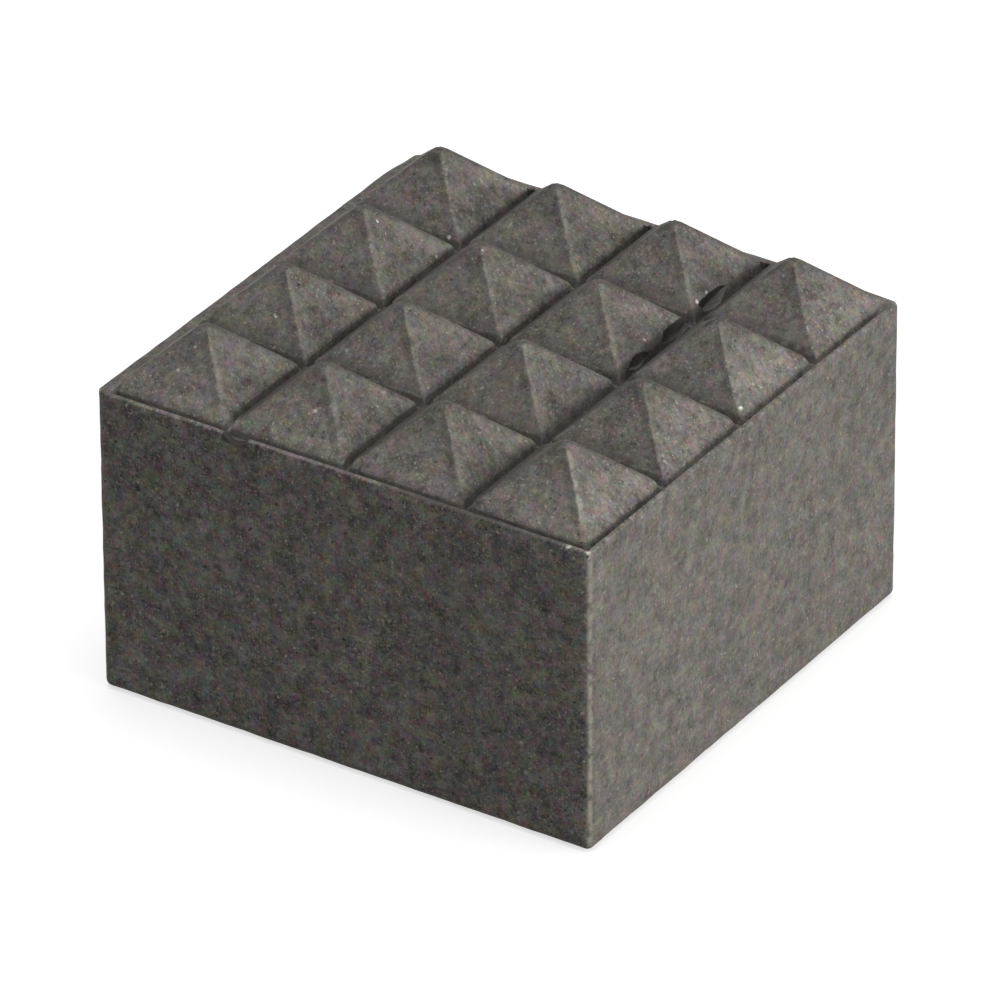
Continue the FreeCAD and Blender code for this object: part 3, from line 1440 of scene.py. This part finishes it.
@dataclass(frozen=True)
class SeenWhite:
    """Pale floor that the lens sees as white, while it keeps the object's shadow."""

    bounce: Colour = (0.14, 0.14, 0.14)
    seen: Colour = (0.6, 0.6, 0.6)
    glow: float = 0.64

    def material(self) -> bpy.types.Material:
        """Builds the finish.

        Returns:
            The material.
        """
        desk = ShaderDesk(bpy.data.materials.new("pale_floor"))
        bounced = desk.out("ShaderNodeBsdfDiffuse", {}, {"Color": rgba(self.bounce)})
        lit = desk.out("ShaderNodeBsdfDiffuse", {}, {"Color": rgba(self.seen)})
        glow = desk.out("ShaderNodeEmission", {}, {"Color": rgba((1, 1, 1)), "Strength": self.glow})
        shown = desk.out("ShaderNodeAddShader", {}, {0: lit, 1: glow})
        seen = desk.rays("Is Camera Ray", "Is Glossy Ray", "Is Transmission Ray")
        return desk.finish(desk.out("ShaderNodeMixShader", {}, {0: seen, 1: bounced, 2: shown}))


@dataclass(frozen=True)
class SoftRoom:
    """Even light from all round, which the lens sees as white."""

    strength: float = 0.36
    white: float = 1.0

    def world(self) -> bpy.types.World:
        """Builds the world.

        Returns:
            The world.
        """
        desk = ShaderDesk(bpy.data.worlds.new("studio"))
        mix = {0: desk.rays("Is Camera Ray", "Is Transmission Ray")}
        for socket, strength in ((1, self.strength), (2, self.white)):
            light = {"Color": rgba((1, 1, 1)), "Strength": strength}
            mix[socket] = desk.out("ShaderNodeBackground", {}, light)
        return desk.finish(desk.out("ShaderNodeMixShader", {}, mix))


@dataclass
class Insert:
    """The whole insert: block, teeth and damage as one closed piece."""

    sizes: InsertSizes
    smooth_angle: float = 32.0

    def build(self) -> Workpiece:
        """Shapes and dresses the insert, and hands it to the frame.

        Returns:
            The finished piece, in metres.
        """
        insert = SinteredBlock(self.sizes).build()
        insert.work(ToothGrid(self.sizes).build(), Join.UNITE)
        Damage(self.sizes).apply(insert)
        self._keep_in_box(insert)
        insert.piece.data.transform(Matrix.Scale(MM, 4))
        insert.take_up()
        bpy.ops.object.shade_smooth_by_angle(angle=math.radians(self.smooth_angle))
        insert.modify("WEIGHTED_NORMAL", mode="FACE_AREA", keep_sharp=True)
        insert.piece.data.materials.clear()
        insert.piece.data.materials.append(SinteredGrey(self.sizes).material())
        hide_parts(NODE)
        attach(insert.piece, "root")
        return insert

    def _keep_in_box(self, insert: Workpiece) -> None:
        """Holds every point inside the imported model's box.

        Args:
            insert: The insert, in millimetres.
        """
        low, high = self.sizes.low, self.sizes.high
        for point in insert.piece.data.vertices:
            for axis in range(3):
                point.co[axis] = min(max(point.co[axis], low[axis]), high[axis])


@dataclass(frozen=True)
class Lamp:
    """A flat lamp: where it hangs and its width and height in millimetres, and its power in watts."""

    name: str
    place: Point
    size: tuple[float, float]
    watts: float

    def hang(self, aim: Point) -> None:
        """Hangs the lamp in the scene.

        Args:
            aim: What it points at, in millimetres.
        """
        data = bpy.data.lights.new(self.name, "AREA")
        data.shape = "RECTANGLE"
        data.size, data.size_y = (side * MM for side in self.size)
        data.energy = self.watts
        lamp = bpy.data.objects.new(self.name, data)
        bpy.context.scene.collection.objects.link(lamp)
        lamp.location = Vector(self.place) * MM
        lamp.rotation_euler = (Vector(aim) - Vector(self.place)).to_track_quat("-Z", "Y").to_euler()


@dataclass
class Studio:
    """Floor, soft light from the right, and the camera."""

    floor_metres: float = 4.0
    lamps: tuple[Lamp, ...] = (
        Lamp("right_panel", (200, 45, 45), (160, 90), 0.272),
        Lamp("top_panel", (0, 0, 260), (130, 130), 0.25),
    )
    lamp_aim: Point = (0, 0, 4)
    azimuth: float = 33.09
    elevation: float = 31.04
    roll: float = -0.32
    distance: float = 254.5
    focal_pixels: float = 11604.0
    picture_width: float = 990.0
    sensor_width: float = 36.0
    centre_pixel: tuple[float, float] = (501.4, 493.4)
    target: Point = (0.0, 0.0, 3.775)
    clip_metres: tuple[float, float] = (0.01, 10.0)

    def build(self) -> None:
        """Sets up the floor, the world, the lamps and the camera."""
        self._floor()
        bpy.context.scene.world = SoftRoom().world()
        for lamp in self.lamps:
            lamp.hang(self.lamp_aim)
        self._camera()
        bpy.context.scene.view_settings.view_transform = "Standard"

    def _floor(self) -> None:
        """Lays a wide pale floor just under the seat."""
        bpy.ops.object.select_all(action="DESELECT")
        bpy.ops.mesh.primitive_plane_add(size=self.floor_metres, location=(0, 0, 0))
        floor = bpy.context.object
        floor.name = "floor"
        floor.data.materials.append(SeenWhite().material())

    def _camera(self) -> None:
        """Sets the camera at the photograph's angle, aimed so that no shift is needed."""
        a, e, r = (math.radians(v) for v in (self.azimuth, self.elevation, self.roll))
        back = Vector((math.sin(a) * math.cos(e), -math.cos(a) * math.cos(e), math.sin(e)))
        level = Vector((math.cos(a), math.sin(a), 0))
        upward = back.cross(level)
        right = level * math.cos(r) + upward * math.sin(r)
        up = upward * math.cos(r) - level * math.sin(r)
        per_pixel = self.distance / self.focal_pixels
        middle = self.picture_width / 2
        aim = Vector(self.target)
        aim -= right * (self.centre_pixel[0] - middle) * per_pixel
        aim += up * (self.centre_pixel[1] - middle) * per_pixel
        data = bpy.data.cameras.new("camera")
        data.sensor_width = self.sensor_width
        data.lens = self.sensor_width * self.focal_pixels / self.picture_width
        data.clip_start, data.clip_end = self.clip_metres
        camera = bpy.data.objects.new("camera", data)
        bpy.context.scene.collection.objects.link(camera)
        turn = Matrix((right, up, back)).transposed().to_4x4()
        camera.matrix_world = Matrix.Translation((aim + back * self.distance) * MM) @ turn
        bpy.context.scene.camera = camera


def main() -> None:
    """Builds the insert and the studio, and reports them."""
    logging.basicConfig(level=logging.INFO, format="%(name)s: %(message)s")
    low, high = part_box(NODE)
    insert = Insert(InsertSizes(low / MM, high / MM)).build()
    LOG.info("%s finished: %d triangles", insert.piece.name, insert.triangles())
    Studio().build()
    LOG.info("studio finished")


if __name__ == "__main__":
    main()
